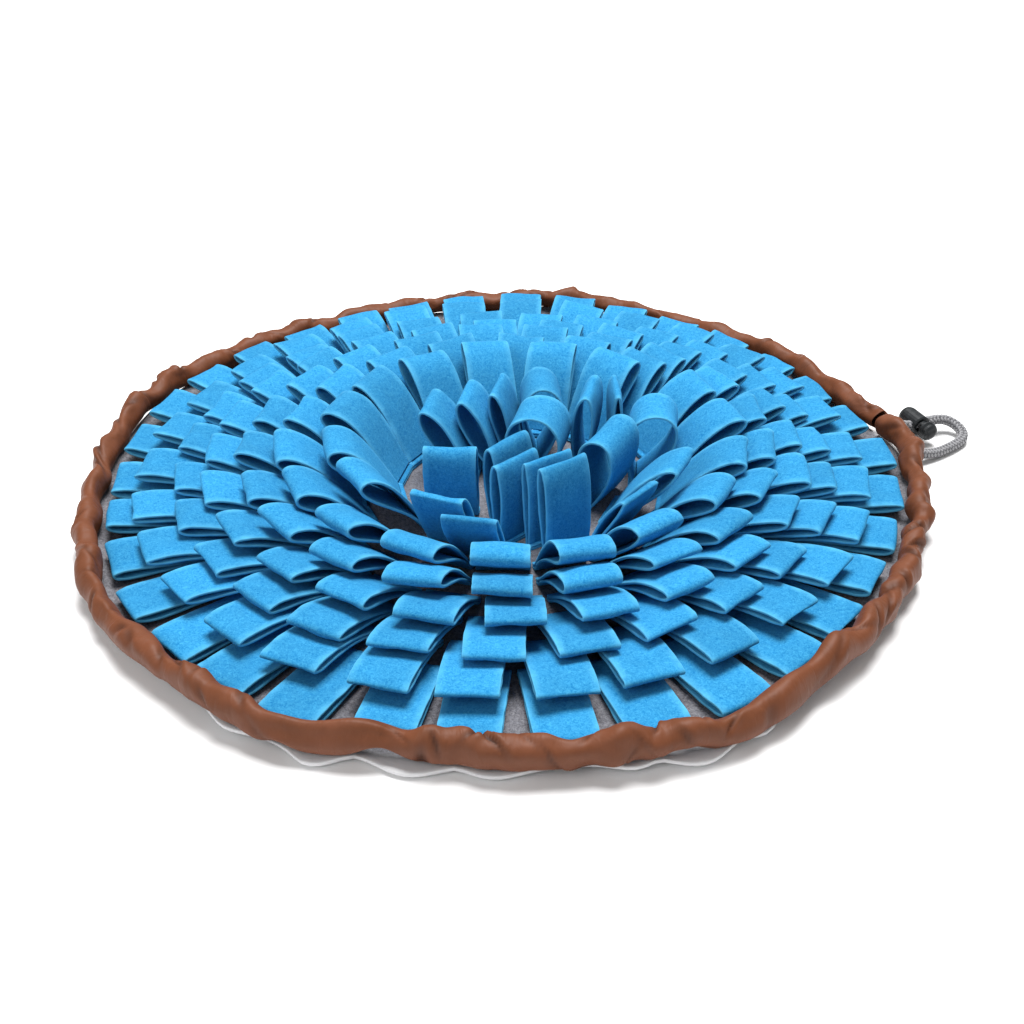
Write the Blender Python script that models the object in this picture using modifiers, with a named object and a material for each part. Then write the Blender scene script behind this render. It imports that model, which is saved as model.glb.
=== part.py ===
"""Snuffle mat: folded felt strips sewn in rings on a round felt base, with a drawstring casing round its edge.

Metres, +Z up. The origin is the middle of the base's underside, where the mat rests, and the cord lock
lies at +X. Sizes below are in millimetres and become metres where a vertex is made.
"""

import math
import random
from typing import NamedTuple

import bmesh
import bpy
from mathutils import Matrix, Vector

MM = 0.001
FIT = 0.3  # clear space between two pieces that touch on the real mat

# Felt strips and the way they are sewn
STRIP_WIDTH = 30.0
STRIP_THICK = 1.7
SEAM_GAP = 0.5  # between the two legs of a strip where they are sewn down
SEAM_HEIGHT = 1.2  # felt that the seam presses flat under the legs
SEAM_DEPTH = 4.0  # how far the sewn ends reach in past the seam
SEAM_MARGIN = 1.0  # least felt behind the upper leg's root
SHARPEST_MITRE = 1.6

# Base and casing
BASE_THICK = 2.4
BASE_FLAT_RADIUS = 222.0
MARGIN_STEPS = (0.0, 0.45, 1.0)  # from the flat part to the cut edge
BASE_INSET = 0.5  # the base's cut edge lies this far inside the casing's middle line
CASING_WIDTH = 12.5
CASING_HEIGHT = 17.5
CASING_SIDES = 7
CASING_TURN = 0.4  # turn of the casing's section about its middle line, radians
CASING_SAG = 0.32  # share of its height that the casing loses at the back
CASING_SECTIONS = 140
BASE_SECTIONS = 70
MOUTH_AT = 11.0  # azimuth of the gap where the casing's two ends meet, degrees
MOUTH_HALF = 0.72  # half of that gap, degrees
LIP_SPREAD = 2.6  # how far from the mouth its lips reach, degrees
LIP_OUT = 4.0  # how far they turn outwards

# Drawcord and cord lock
CORD_DIAMETER = 5.0
CORD_POINTS = 48
CORD_HOLE_SIDES = 16
CORD_ROUTE = (
    (241, 46.85, 12.5),
    (247.4, 48.1, 11.4),
    (253.4, 48, 10.2),
    (258.97, 47.91, 9.5),
    (266, 50.5, 9.5),
    (273.04, 53.09, 9.5),
    (280, 55.6, 9.3),
    (285.8, 56.4, 8.4),
    (290.7, 54.3, 6.9),
    (293.7, 50, 5.3),
    (294.1, 44.7, 4.1),
    (291.7, 39.4, 3.3),
    (286.4, 34.2, 2.9),
    (279.2, 28.9, 2.9),
    (271.6, 24, 3.4),
    (262.4, 19.6, 5.6),
    (254, 17.2, 9),
)
LOCK_PLACE = (266, 50.5, 9.5)  # middle of the hole that the cord runs through
LOCK_HEADING = -69.8  # azimuth that the button points to, degrees
LOCK_STEPS = 24
LOCK_PLAY = 0.5  # round the cord in the lock
BARREL_RADIUS = 6.4
BORE_RADIUS = 4.3
STEM_RADIUS = 4.0
HEAD_RADIUS = 5.7
BUTTON_TRAVEL = 4.0
# (radius, along the lock from the cord) of the two turned pieces
BARREL_PROFILE = (
    (0, -9.6),
    (BORE_RADIUS, -9.6),
    (BORE_RADIUS, 4.4),
    (BARREL_RADIUS - 0.8, 4.4),
    (BARREL_RADIUS, 3.6),
    (BARREL_RADIUS, -10),
    (BARREL_RADIUS - 0.6, -12),
    (BARREL_RADIUS - 2.2, -13.4),
    (0, -13.8),
)
BUTTON_PROFILE = (
    (0, 14.4),
    (HEAD_RADIUS - 2.4, 14.1),
    (HEAD_RADIUS - 0.7, 13.2),
    (HEAD_RADIUS, 12),
    (HEAD_RADIUS - 0.6, 11.4),
    (HEAD_RADIUS, 10.8),
    (HEAD_RADIUS - 0.6, 10.2),
    (HEAD_RADIUS, 9.6),
    (HEAD_RADIUS, 8.6),
    (STEM_RADIUS, 8.6),
    (STEM_RADIUS, -5),
    (0, -5),
)

SEED = 11
SHARP_ANGLE = 35.0  # edges sharper than this stay crisp, degrees


class Edge(NamedTuple):
    """One point of the casing's middle line, which is a circle drawn up unevenly by its cord."""

    azimuth: float
    radius: float


OUTLINE = (
    Edge(4, 247),
    Edge(20, 239),
    Edge(38, 240),
    Edge(54, 238),
    Edge(74, 242),
    Edge(100, 240),
    Edge(120, 239),
    Edge(140, 243),
    Edge(161, 247),
    Edge(182, 241),
    Edge(198, 241),
    Edge(214, 244),
    Edge(228, 242),
    Edge(244, 246),
    Edge(258, 237),
    Edge(272, 240),
    Edge(284, 244),
    Edge(296, 247),
    Edge(312, 241),
    Edge(336, 240),
)


class Ring(NamedTuple):
    """One sewn ring of loops."""

    x: float  # middle of the ring
    y: float
    seam: float  # radius of the seam
    count: int
    first: float  # azimuth of its first loop, degrees
    pitch: float  # from one loop to the next, degrees
    reach: float  # from the seam out to the fold
    rise: float  # height of the fold
    belly: float  # how far the lower leg sags
    crown: float  # how far the upper leg bows
    arch: float  # how far the whole loop curves over
    lift: float  # how much steeper the loops stand at the back, degrees


RINGS = (
    Ring(0, 0, 180, 34, 2.0, 360 / 34, 52, 10, 5.0, 3.0, 0.0, 12),
    Ring(0.2, -0.4, 161, 30, 2.0, 360 / 30, 51, 19, 4.5, 2.6, 3.2, 7),
    Ring(1, -1.6, 141, 27, 2.0, 360 / 27, 49, 24.5, 5.0, 4.0, 2.5, 3),
    Ring(2.2, -3.7, 123, 24, 2.0, 360 / 24, 48, 31, 5.5, 5.0, 3.0, 0),
    Ring(3.9, -6.5, 105, 21, 11.6, 360 / 21, 46, 37, 6.5, 6.5, 3.5, 0),
    Ring(6.1, -10.2, 87, 17, -31.8, 19.9, 43, 43, 9.0, 8.5, 4.0, 0),
    Ring(8.8, -9, 67, 8, 53, 23.25, 39, 49, 10.5, 10.5, 3.5, 0),
)
STRETCH = 0.010  # how much wider each ring is across than the last, and shorter front to back
TIP_SPACE = 3.0  # from the outermost folds to the casing
LEAF_SHARPNESS = 3.0  # how much of a ring loop's opening is near its fold
LEAF_ANGLES = (0.0, 1.5, 2.4, math.pi, 3.88, 4.78, math.tau)


class Upright(NamedTuple):
    """One loop that stands in the heart of the mat, inside the rings."""

    x: float
    y: float
    faces: float  # azimuth that it leans towards, degrees
    lean: float
    height: float
    belly: float
    crown: float
    skew: float  # how far its fold slants, degrees


UPRIGHTS = (
    Upright(20, -5.5, 345, 2, 55, 21, 20, 0),
    Upright(59, -22, 325, 6, 51, 13, 15, 10),
    Upright(-28, -37, 265, 5, 50, 9, 7, 0),
    Upright(5, -38, 135, 2, 51, 6, 6, 0),
    Upright(9, -60, 132, 2, 53, 5, 5, 0),
    Upright(27, -63, 122, 3, 55, 3.5, 3.5, 0),
    Upright(36, -73, 124, 5, 57, 4, 5, 0),
    Upright(62, -77.8, 305, 37, 40, 4, 11, 0),
    Upright(22, 30, 2, 2, 55, 16, 13.5, 0),
    Upright(-17, 8, 169, 28, 49, 8, 8, 0),
    Upright(-1, 18, 168, 21, 50, 8, 7, 0),
    Upright(9, 28, 167, 12, 51, 5, 5.5, 0),
    Upright(49.8, 17.4, 345, 4, 56, 7, 8.5, 0),
    Upright(64.8, -39, 336, 40, 47, 4, 8, 0),
    Upright(57, -68, 317, 24, 46, 1.5, 5, 0),
    Upright(81, 1, 353, 15, 52, 15.5, 19, 0),
    Upright(69, 20.8, 2, 0, 54, 3, 3.5, 0),
    Upright(-27.4, -66.2, 250, 21, 45, 1.8, 8, 0),
    Upright(-11, -79.6, 256, 24, 43, 4, 3.5, 0),
)
UPRIGHT_SHARPNESS = 1.0
UPRIGHT_ANGLES = (0.0, 0.9, 1.5, 2.1, 2.7, 3.58, 4.18, 4.78, 5.38, math.tau)


def periodic(table, azimuth):
    """A smooth value round a closed table of (azimuth, value) rows."""
    count = len(table)
    for i, row in enumerate(table):
        span = (table[(i + 1) % count][0] - row[0]) % 360
        along = (azimuth - row[0]) % 360
        if along < span:
            break
    before, here, after, beyond = (table[(i + k) % count][1] for k in (-1, 0, 1, 2))
    t = along / span
    return 0.5 * (
        2 * here
        + (after - before) * t
        + (2 * before - 5 * here + 4 * after - beyond) * t**2
        + (3 * here - before - 3 * after + beyond) * t**3
    )


def wave(azimuth, *terms):
    """A sum of (waves in a turn, size, shift) terms at an azimuth in degrees."""
    turn = math.radians(azimuth)
    return sum(size * math.sin(number * turn + shift) for number, size, shift in terms)


def curl(azimuth):
    """How far the base's margin is turned up by the drawn casing."""
    return 3.0 + wave(azimuth, (5, 1.0, 0.4), (9, 1.0, 2.1), (14, 0.6, 1.0))


def gather(azimuth):
    """Fullness of the casing, from about 0.8 at a pinch to 1.1 between two."""
    return 0.96 + wave(azimuth, (23, 0.06, 0.3), (37, 0.07, 1.7), (51, 0.04, 0.9))


def polar(radius, azimuth, height):
    turn = math.radians(azimuth)
    return Vector((radius * math.cos(turn), radius * math.sin(turn), height)) * MM


def material(name, colour, roughness, metallic=0.0):
    made = bpy.data.materials.new(name)
    made.use_nodes = True
    shader = made.node_tree.nodes["Principled BSDF"]
    shader.inputs["Base Color"].default_value = (*colour, 1.0)
    shader.inputs["Roughness"].default_value = roughness
    shader.inputs["Metallic"].default_value = metallic
    return made


def add_object(name, bm, finish, parts):
    """Closes a bmesh into a named object, with its faces turned outwards."""
    bmesh.ops.recalc_face_normals(bm, faces=bm.faces)
    mesh = bpy.data.meshes.new(name)
    bm.to_mesh(mesh)
    bm.free()
    mesh.shade_smooth()
    mesh.set_sharp_from_angle(angle=math.radians(SHARP_ANGLE))
    mesh.materials.append(finish)
    made = bpy.data.objects.new(name, mesh)
    parts.objects.link(made)
    return made


def join_rows(bm, first, second, closed=True):
    """Quads between two rows of vertices."""
    count = len(first)
    for k in range(count if closed else count - 1):
        after = (k + 1) % count
        bm.faces.new((first[k], first[after], second[after], second[k]))


def leaf(length, belly, crown, arch, sharpness, angles):
    """Middle line of a folded strip, as (along, across) from its lower leg's root round the fold to its upper."""
    legs = STRIP_THICK + SEAM_GAP
    line = []
    for angle in angles:
        along = length * (1 - math.cos(angle)) / 2
        share = along / length
        bow = crown if angle > math.pi else belly
        across = -bow * math.sin(angle) * abs(math.sin(angle / 2)) ** sharpness
        across += 4 * arch * share * (1 - share)
        across += legs * (angle / math.tau - 0.5) * (1 - share)
        line.append((along, across))
    return line


def thicken(line):
    """The (outer, inner) points either side of each inner point of a strip's middle line."""
    sides = []
    for before, here, after in zip(line, line[1:], line[2:]):
        into = (Vector(here) - Vector(before)).normalized()
        away = (Vector(after) - Vector(here)).normalized()
        normal = (Vector((into.y, -into.x)) + Vector((away.y, -away.x))).normalized()
        mitre = min(1 / max(normal.dot(Vector((into.y, -into.x))), 0.01), SHARPEST_MITRE)
        offset = normal * mitre * STRIP_THICK / 2
        sides.append((Vector(here) + offset, Vector(here) - offset))
    return sides


def seam_profile(slope, floor):
    """Outline of the sewn band as (out, up) from the seam: the legs' four corners, then its back and foot."""
    half = SEAM_GAP / 2
    middle = floor + SEAM_HEIGHT + (STRIP_THICK + half) * math.cos(slope)
    steps = (-STRIP_THICK - half, -half, half, STRIP_THICK + half)
    corners = [(-step * math.sin(slope), middle + step * math.cos(slope)) for step in steps]
    back = min(corners[3][0] - SEAM_MARGIN, -SEAM_DEPTH)
    return middle, [*corners, (back, corners[3][1]), (back, floor), (corners[0][0], floor)]


def add_band(bm, left, right):
    """The sewn band's faces between two of its outlines, all but those where the two legs leave it."""
    for k in (1, 3, 4, 5, 6):
        after = (k + 1) % len(left)
        bm.faces.new((left[k], right[k], right[after], left[after]))


def add_loop(bm, left, right, frame, line, twist, skew):
    """Lofts one strip from its lower root, round its fold and back to its upper root."""
    rows = [(left[0], right[0], right[1], left[1])]
    length = max(along for along, _ in line)
    for outer, inner in thicken(line):
        share = outer.x / length
        turn = math.tan(twist * share)
        row = []
        for point, side in ((outer, -1), (outer, 1), (inner, 1), (inner, -1)):
            y = side * STRIP_WIDTH / 2
            place = Vector((point.x + y * math.tan(skew) * share, y, point.y + y * turn))
            row.append(bm.verts.new((frame @ place) * MM))
        rows.append(tuple(row))
    rows.append((left[3], right[3], right[2], left[2]))
    for first, second in zip(rows, rows[1:]):
        join_rows(bm, first, second)


def backness(azimuth):
    """From 0 at the mat's front to 1 at its back."""
    return (0.5 + 0.5 * math.sin(math.radians(azimuth))) ** 2


def casing_inside(azimuth):
    """Radius of the casing's inner side."""
    return periodic(OUTLINE, azimuth) - CASING_WIDTH / 2 * gather(azimuth)


def add_ring(index, ring, finish, parts):
    """One ring of loops, or an arc of one, whose strips are one felt band where they are sewn down."""
    chance = random.Random(SEED + index)
    floor = BASE_THICK + FIT
    slope = math.atan2(ring.rise - floor - SEAM_HEIGHT - STRIP_THICK, ring.reach)
    middle, profile = seam_profile(slope, floor)
    centre = Vector((ring.x, ring.y, 0))
    wide, deep = 1 + STRETCH * index, 1 - STRETCH * index
    closed = abs(ring.pitch * ring.count - 360) < ring.pitch / 2

    def seam_frame(azimuth):
        turn = math.radians(azimuth)
        seam = centre + Vector((wide * math.cos(turn), deep * math.sin(turn), 0)) * ring.seam
        return Matrix.Translation(seam) @ Matrix.Rotation(turn, 4, "Z")

    bm = bmesh.new()
    outlines = []
    for i in range(ring.count + (not closed)):
        frame = seam_frame(ring.first + (i - 0.5) * ring.pitch)
        outlines.append([bm.verts.new((frame @ Vector((out, 0, up))) * MM) for out, up in profile])
    if not closed:
        bm.faces.new(outlines[0])
        bm.faces.new(outlines[-1])
    for i in range(ring.count):
        left, right = outlines[i], outlines[(i + 1) % len(outlines)]
        azimuth = ring.first + i * ring.pitch
        add_band(bm, left, right)
        reach = ring.reach * chance.uniform(0.97, 1.03)
        if index == 0:
            reach = casing_inside(azimuth) - TIP_SPACE - STRIP_THICK - ring.seam
        line = leaf(
            math.hypot(reach, ring.rise - middle),
            ring.belly * chance.uniform(0.8, 1.1),
            ring.crown * chance.uniform(0.8, 1.1),
            ring.arch,
            LEAF_SHARPNESS,
            LEAF_ANGLES,
        )
        lift = ring.lift * backness(azimuth)
        frame = (
            seam_frame(azimuth)
            @ Matrix.Translation((0, 0, middle))
            @ Matrix.Rotation(math.radians(chance.uniform(-2.5, 2.5)), 4, "Z")
            @ Matrix.Rotation(-slope - math.radians(lift + chance.uniform(-1.0, 1.0)), 4, "Y")
        )
        twist = math.radians(chance.uniform(-4, 4))
        skew = math.radians(chance.uniform(-6, 6)) if index else 0.0
        add_loop(bm, left, right, frame, line, twist, skew)
    return add_object(f"felt_ring_{index + 1}", bm, finish, parts)


def add_upright(index, row, finish, parts):
    """One loop of the heart, standing on its own short seam."""
    floor = BASE_THICK + FIT
    slope = math.atan2(row.height - floor - SEAM_HEIGHT, row.lean)
    middle, profile = seam_profile(slope, floor)
    seam = Matrix.Translation((row.x, row.y, 0)) @ Matrix.Rotation(math.radians(row.faces), 4, "Z")
    bm = bmesh.new()
    ends = []
    for side in (-1, 1):
        y = side * STRIP_WIDTH / 2
        ends.append([bm.verts.new((seam @ Vector((out, y, up))) * MM) for out, up in profile])
    left, right = ends
    add_band(bm, left, right)
    bm.faces.new(left)
    bm.faces.new(right)
    length = math.hypot(row.height - middle, row.lean)
    line = leaf(length, row.belly, row.crown, 0.0, UPRIGHT_SHARPNESS, UPRIGHT_ANGLES)
    frame = seam @ Matrix.Translation((0, 0, middle)) @ Matrix.Rotation(-slope, 4, "Y")
    add_loop(bm, left, right, frame, line, 0.0, math.radians(row.skew))
    return add_object(f"heart_loop_{index + 1:02d}", bm, finish, parts)


def add_base(finish, parts):
    """Round felt base, flat where it lies and turned up at its margin."""
    bm = bmesh.new()
    layers = {}
    for level in (0.0, BASE_THICK):
        layers[level] = []
        for share in MARGIN_STEPS:
            row = []
            for i in range(BASE_SECTIONS):
                azimuth = 360 * i / BASE_SECTIONS
                rim = periodic(OUTLINE, azimuth) - BASE_INSET
                radius = BASE_FLAT_RADIUS + (rim - BASE_FLAT_RADIUS) * share
                row.append(bm.verts.new(polar(radius, azimuth, level + curl(azimuth) * share**2)))
            layers[level].append(row)
    for rows in layers.values():
        bm.faces.new(rows[0])
        for first, second in zip(rows, rows[1:]):
            join_rows(bm, first, second)
    join_rows(bm, layers[0.0][-1], layers[BASE_THICK][-1])
    return add_object("base", bm, finish, parts)


def casing_section(azimuth):
    """Points round one section of the gathered casing."""
    full = gather(azimuth)
    lip = math.exp(-(((azimuth - MOUTH_AT + 180) % 360 - 180) / LIP_SPREAD) ** 2)
    radius = periodic(OUTLINE, azimuth) + LIP_OUT * lip
    half_width = CASING_WIDTH / 2 * full
    half_height = CASING_HEIGHT / 2 * full * (1 - CASING_SAG * backness(azimuth))
    middle = curl(azimuth) + BASE_THICK + 2 * FIT + half_height
    turns = [math.tau * k / CASING_SIDES + CASING_TURN for k in range(CASING_SIDES)]
    return [
        polar(radius + half_width * math.cos(turn), azimuth, middle + half_height * math.sin(turn))
        for turn in turns
    ]


def add_casing(finish, parts):
    """Gathered fabric casing, open where its two ends meet at the cord's mouth."""
    bm = bmesh.new()
    start, span = MOUTH_AT + MOUTH_HALF, 360 - 2 * MOUTH_HALF
    rows = [
        [bm.verts.new(point) for point in casing_section(start + span * i / CASING_SECTIONS)]
        for i in range(CASING_SECTIONS + 1)
    ]
    for first, second in zip(rows, rows[1:]):
        join_rows(bm, first, second)
    bm.faces.new(rows[0])
    bm.faces.new(rows[-1])
    return add_object("casing", bm, finish, parts)


def smooth_route(points, count):
    """Evenly shared points on a smooth curve through the given ones."""
    padded = [points[0], *points, points[-1]]
    route = []
    for i in range(count):
        at = i * (len(points) - 1) / (count - 1)
        k = min(int(at), len(points) - 2)
        t = at - k
        before, here, after, beyond = (Vector(padded[k + n]) for n in range(4))
        route.append(
            0.5
            * (
                2 * here
                + (after - before) * t
                + (2 * before - 5 * here + 4 * after - beyond) * t**2
                + (3 * here - before - 3 * after + beyond) * t**3
            )
        )
    return route


def add_drawcord(finish, parts):
    """The loop of drawcord that shows: out of the casing's mouth, through the lock and back into the casing."""
    curve = bpy.data.curves.new("drawcord", "CURVE")
    curve.dimensions = "3D"
    curve.bevel_depth = CORD_DIAMETER / 2 * MM
    curve.bevel_resolution = 2
    curve.use_fill_caps = True
    spline = curve.splines.new("POLY")
    route = smooth_route(CORD_ROUTE, CORD_POINTS)
    spline.points.add(len(route) - 1)
    for point, place in zip(spline.points, route):
        point.co = (*(place * MM), 1.0)
    curve.materials.append(finish)
    parts.objects.link(bpy.data.objects.new("drawcord", curve))


def turned(name, profile, finish, parts, parent):
    """A turned piece on the lock's axis, from (radius, along) points that run down its outer side."""
    mesh = bpy.data.meshes.new(name)
    points = [Vector((radius, 0, along)) * MM for radius, along in profile]
    mesh.from_pydata(points, [(k, k + 1) for k in range(len(points) - 1)], [])
    mesh.materials.append(finish)
    made = bpy.data.objects.new(name, mesh)
    made.parent = parent
    parts.objects.link(made)
    screw = made.modifiers.new("turn", "SCREW")
    screw.steps = screw.render_steps = LOCK_STEPS
    screw.use_merge_vertices = True
    screw.merge_threshold = 0.00001
    return made


def cut(target, cutter, cutters):
    cutter.hide_render = True
    cutter.display_type = "WIRE"
    for owner in list(cutter.users_collection):
        owner.objects.unlink(cutter)
    cutters.objects.link(cutter)
    boolean = target.modifiers.new(cutter.name, "BOOLEAN")
    boolean.operation = "DIFFERENCE"
    boolean.object = cutter


def add_cord_lock(finish, parts, cutters):
    """Cord lock: a barrel with the cord through it, and the sprung button that slides in its bore."""
    centre = bpy.data.objects.new("cord_lock", None)
    turn = math.radians(LOCK_HEADING)
    through = Vector((-math.sin(turn), math.cos(turn), 0))
    along = Vector((math.cos(turn), math.sin(turn), 0))
    axes = Matrix((through, Vector((0, 0, 1)), along)).transposed().to_4x4()
    centre.matrix_world = Matrix.Translation(Vector(LOCK_PLACE) * MM) @ axes
    parts.objects.link(centre)
    barrel = turned("lock_barrel", BARREL_PROFILE, finish, parts, centre)
    button = turned("lock_button", BUTTON_PROFILE, finish, parts, centre)

    bpy.ops.mesh.primitive_cylinder_add(
        vertices=CORD_HOLE_SIDES, radius=(CORD_DIAMETER / 2 + LOCK_PLAY) * MM, depth=4 * BARREL_RADIUS * MM
    )
    hole = bpy.context.object
    hole.name = "cord_hole"
    hole.matrix_world = centre.matrix_world @ Matrix.Rotation(math.pi / 2, 4, "Y")
    cut(barrel, hole, cutters)

    bpy.ops.mesh.primitive_cube_add(size=1)
    window = bpy.context.object
    window.name = "cord_window"
    opening = CORD_DIAMETER + 2 * LOCK_PLAY
    sizes = Vector((4 * BARREL_RADIUS, opening, opening + BUTTON_TRAVEL)) * MM
    window.matrix_world = (
        centre.matrix_world
        @ Matrix.Translation((0, 0, BUTTON_TRAVEL / 2 * MM))
        @ Matrix.Diagonal((*sizes, 1))
    )
    cut(button, window, cutters)


def main():
    for stale in list(bpy.data.objects):
        bpy.data.objects.remove(stale)
    parts = bpy.data.collections.new("snuffle_mat")
    bpy.context.scene.collection.children.link(parts)
    cutters = bpy.data.collections.new("cutters")
    bpy.context.scene.collection.children.link(cutters)
    blue_felt = material("blue_felt", (0.05, 0.38, 0.76), 0.95)
    grey_felt = material("grey_felt", (0.19, 0.18, 0.20), 0.95)
    brown_cloth = material("brown_cloth", (0.21, 0.09, 0.05), 0.6)
    grey_cord = material("grey_cord", (0.30, 0.30, 0.31), 0.9)
    black_plastic = material("black_plastic", (0.015, 0.018, 0.02), 0.45)
    add_base(grey_felt, parts)
    add_casing(brown_cloth, parts)
    add_drawcord(grey_cord, parts)
    add_cord_lock(black_plastic, parts, cutters)
    for index, ring in enumerate(RINGS):
        add_ring(index, ring, blue_felt, parts)
    for index, row in enumerate(UPRIGHTS):
        add_upright(index, row, blue_felt, parts)


main()
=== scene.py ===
"""Looks of a round snuffle mat: blue felt loops on a grey felt base, in a gathered brown drawcord casing.

Sizes are in millimetres, as a maker would cut them, and become metres where a vertex is placed. The origin is
the middle of the base's underside, +Z is up and the cord lock lies at +X.
"""

import logging
import math
import random
from dataclasses import dataclass
from enum import Enum
from typing import Any, Callable, Iterator, Optional

import bmesh
import bpy
from mathutils import Matrix, Vector, noise


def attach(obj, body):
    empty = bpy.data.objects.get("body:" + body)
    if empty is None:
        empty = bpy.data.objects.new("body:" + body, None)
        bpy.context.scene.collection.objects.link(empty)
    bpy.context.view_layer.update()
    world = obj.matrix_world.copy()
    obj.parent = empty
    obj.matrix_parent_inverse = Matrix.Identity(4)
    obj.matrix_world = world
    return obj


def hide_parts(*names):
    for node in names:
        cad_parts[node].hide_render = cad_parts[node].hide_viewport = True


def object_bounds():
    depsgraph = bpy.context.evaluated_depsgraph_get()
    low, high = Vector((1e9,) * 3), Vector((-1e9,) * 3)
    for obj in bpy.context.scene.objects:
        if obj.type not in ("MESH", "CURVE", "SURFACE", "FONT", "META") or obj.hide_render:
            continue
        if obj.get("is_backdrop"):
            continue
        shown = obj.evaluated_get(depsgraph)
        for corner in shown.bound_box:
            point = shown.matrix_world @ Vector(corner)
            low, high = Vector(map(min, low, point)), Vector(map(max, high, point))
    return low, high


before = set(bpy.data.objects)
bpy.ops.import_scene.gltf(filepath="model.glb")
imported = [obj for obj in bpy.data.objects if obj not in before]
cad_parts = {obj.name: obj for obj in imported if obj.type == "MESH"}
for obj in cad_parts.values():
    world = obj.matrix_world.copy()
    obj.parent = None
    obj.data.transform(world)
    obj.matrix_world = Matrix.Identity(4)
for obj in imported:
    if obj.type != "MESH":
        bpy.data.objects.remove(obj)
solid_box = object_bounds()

log = logging.getLogger("snuffle_mat")

MM = 0.001
WELD = 1e-6  # metres within which the seams of a rolled grid are joined
SEED = 11
BODY = "mat"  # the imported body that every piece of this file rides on
CLOTH = "cloth"  # the UV layer that measures a cloth in metres, along and round

Place = Callable[[float, float], tuple[Vector, float]]
Measure = Callable[[float, float], tuple[float, float]]
Triple = tuple[float, float, float]
Across = tuple[Vector, Vector, Vector]  # a point of a line, and two directions across the line


class Held(Enum):
    """How a sheet of this mat is held."""

    LAID = "laid"
    FOLDED = "folded"
    GATHERED = "gathered"


class Slot(Enum):
    """The record's material slots that the pieces of this file use."""

    BLUE_FELT = "blue_felt"
    GREY_FELT = "grey_felt"
    BROWN_CLOTH = "brown_cloth"
    GREY_CORD = "grey_cord"


# -------------------- The mat's plan, which the pieces share --------------------


def wave(azimuth: float, *terms: Triple) -> float:
    """Adds up sine waves that run round the mat.

    Args:
        azimuth: where on the mat, in degrees.
        terms: (waves in a turn, size, shift) of each wave.

    Returns:
        Their sum, in the unit of the sizes.
    """
    turn = math.radians(azimuth)
    return sum(size * math.sin(number * turn + shift) for number, size, shift in terms)


def hump(azimuth: float, at: float, half: float) -> float:
    """A smooth hump on the mat's edge: 1 at one azimuth, and about a third at half of its width away."""
    return math.exp(-((((azimuth - at + 180) % 360 - 180) / half) ** 2))


def smooth_between(before: Any, here: Any, after: Any, beyond: Any, t: float) -> Any:
    """Goes from here to after on a Catmull-Rom curve.

    Args:
        before: the value one step back.
        here: the value at t 0.
        after: the value at t 1.
        beyond: the value two steps on.
        t: how far along, from 0 to 1.

    Returns:
        The value at t, a number or a vector as the four are.
    """
    return 0.5 * (
        2 * here
        + (after - before) * t
        + (2 * before - 5 * here + 4 * after - beyond) * t**2
        + (3 * here - before - 3 * after + beyond) * t**3
    )


@dataclass(frozen=True)
class Plan:
    """Outline of the mat and how its margin curls and gathers, all by azimuth in degrees."""

    outline: tuple[tuple[float, float], ...] = (
        *((4, 247), (20, 239), (38, 240), (54, 238), (74, 242), (100, 240), (120, 239), (140, 243)),
        *((161, 247), (182, 241), (198, 241), (214, 244), (228, 242), (244, 246), (258, 237)),
        *((272, 240), (284, 244), (296, 247), (312, 241), (336, 240)),
    )
    casing_width: float = 12.5
    casing_height: float = 17.5
    casing_sag: float = 0.32  # share of its height that the casing loses at the back
    base_thick: float = 2.4
    fit: float = 0.3

    def radius(self, azimuth: float) -> float:
        """Radius of the casing's middle line, smooth through the outline's points."""
        count = len(self.outline)
        for i, row in enumerate(self.outline):
            span = (self.outline[(i + 1) % count][0] - row[0]) % 360
            along = (azimuth - row[0]) % 360
            if along < span:
                break
        near = (self.outline[(i + k) % count][1] for k in (-1, 0, 1, 2))
        return smooth_between(*near, along / span)

    def curl(self, azimuth: float) -> float:
        """How far the drawn casing turns the base's margin up."""
        return 3.0 + wave(azimuth, (5, 1.0, 0.4), (9, 1.0, 2.1), (14, 0.6, 1.0))

    def gather(self, azimuth: float) -> float:
        """Fullness of the casing, from about 0.8 at a pinch to 1.1 between two."""
        return 0.96 + wave(azimuth, (23, 0.06, 0.3), (37, 0.07, 1.7), (51, 0.04, 0.9))

    def casing_inside(self, azimuth: float) -> float:
        """Radius of the casing's inner side."""
        return self.radius(azimuth) - self.casing_width / 2 * self.gather(azimuth)

    def backness(self, azimuth: float) -> float:
        """From 0 at the mat's front to 1 at its back."""
        return (0.5 + 0.5 * math.sin(math.radians(azimuth))) ** 2

    def casing_half(self, azimuth: float) -> tuple[float, float]:
        """Half of the casing's width and half of its height, which is least at the back."""
        full = self.gather(azimuth)
        sag = 1 - self.casing_sag * self.backness(azimuth)
        return self.casing_width / 2 * full, self.casing_height / 2 * full * sag


PLAN = Plan()


def polar(radius: float, azimuth: float, height: float) -> Vector:
    """A place by radius and height in millimetres and azimuth in degrees, in metres."""
    turn = math.radians(azimuth)
    return Vector((radius * math.cos(turn), radius * math.sin(turn), height)) * MM


# -------------------- Making meshes and objects --------------------


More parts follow.
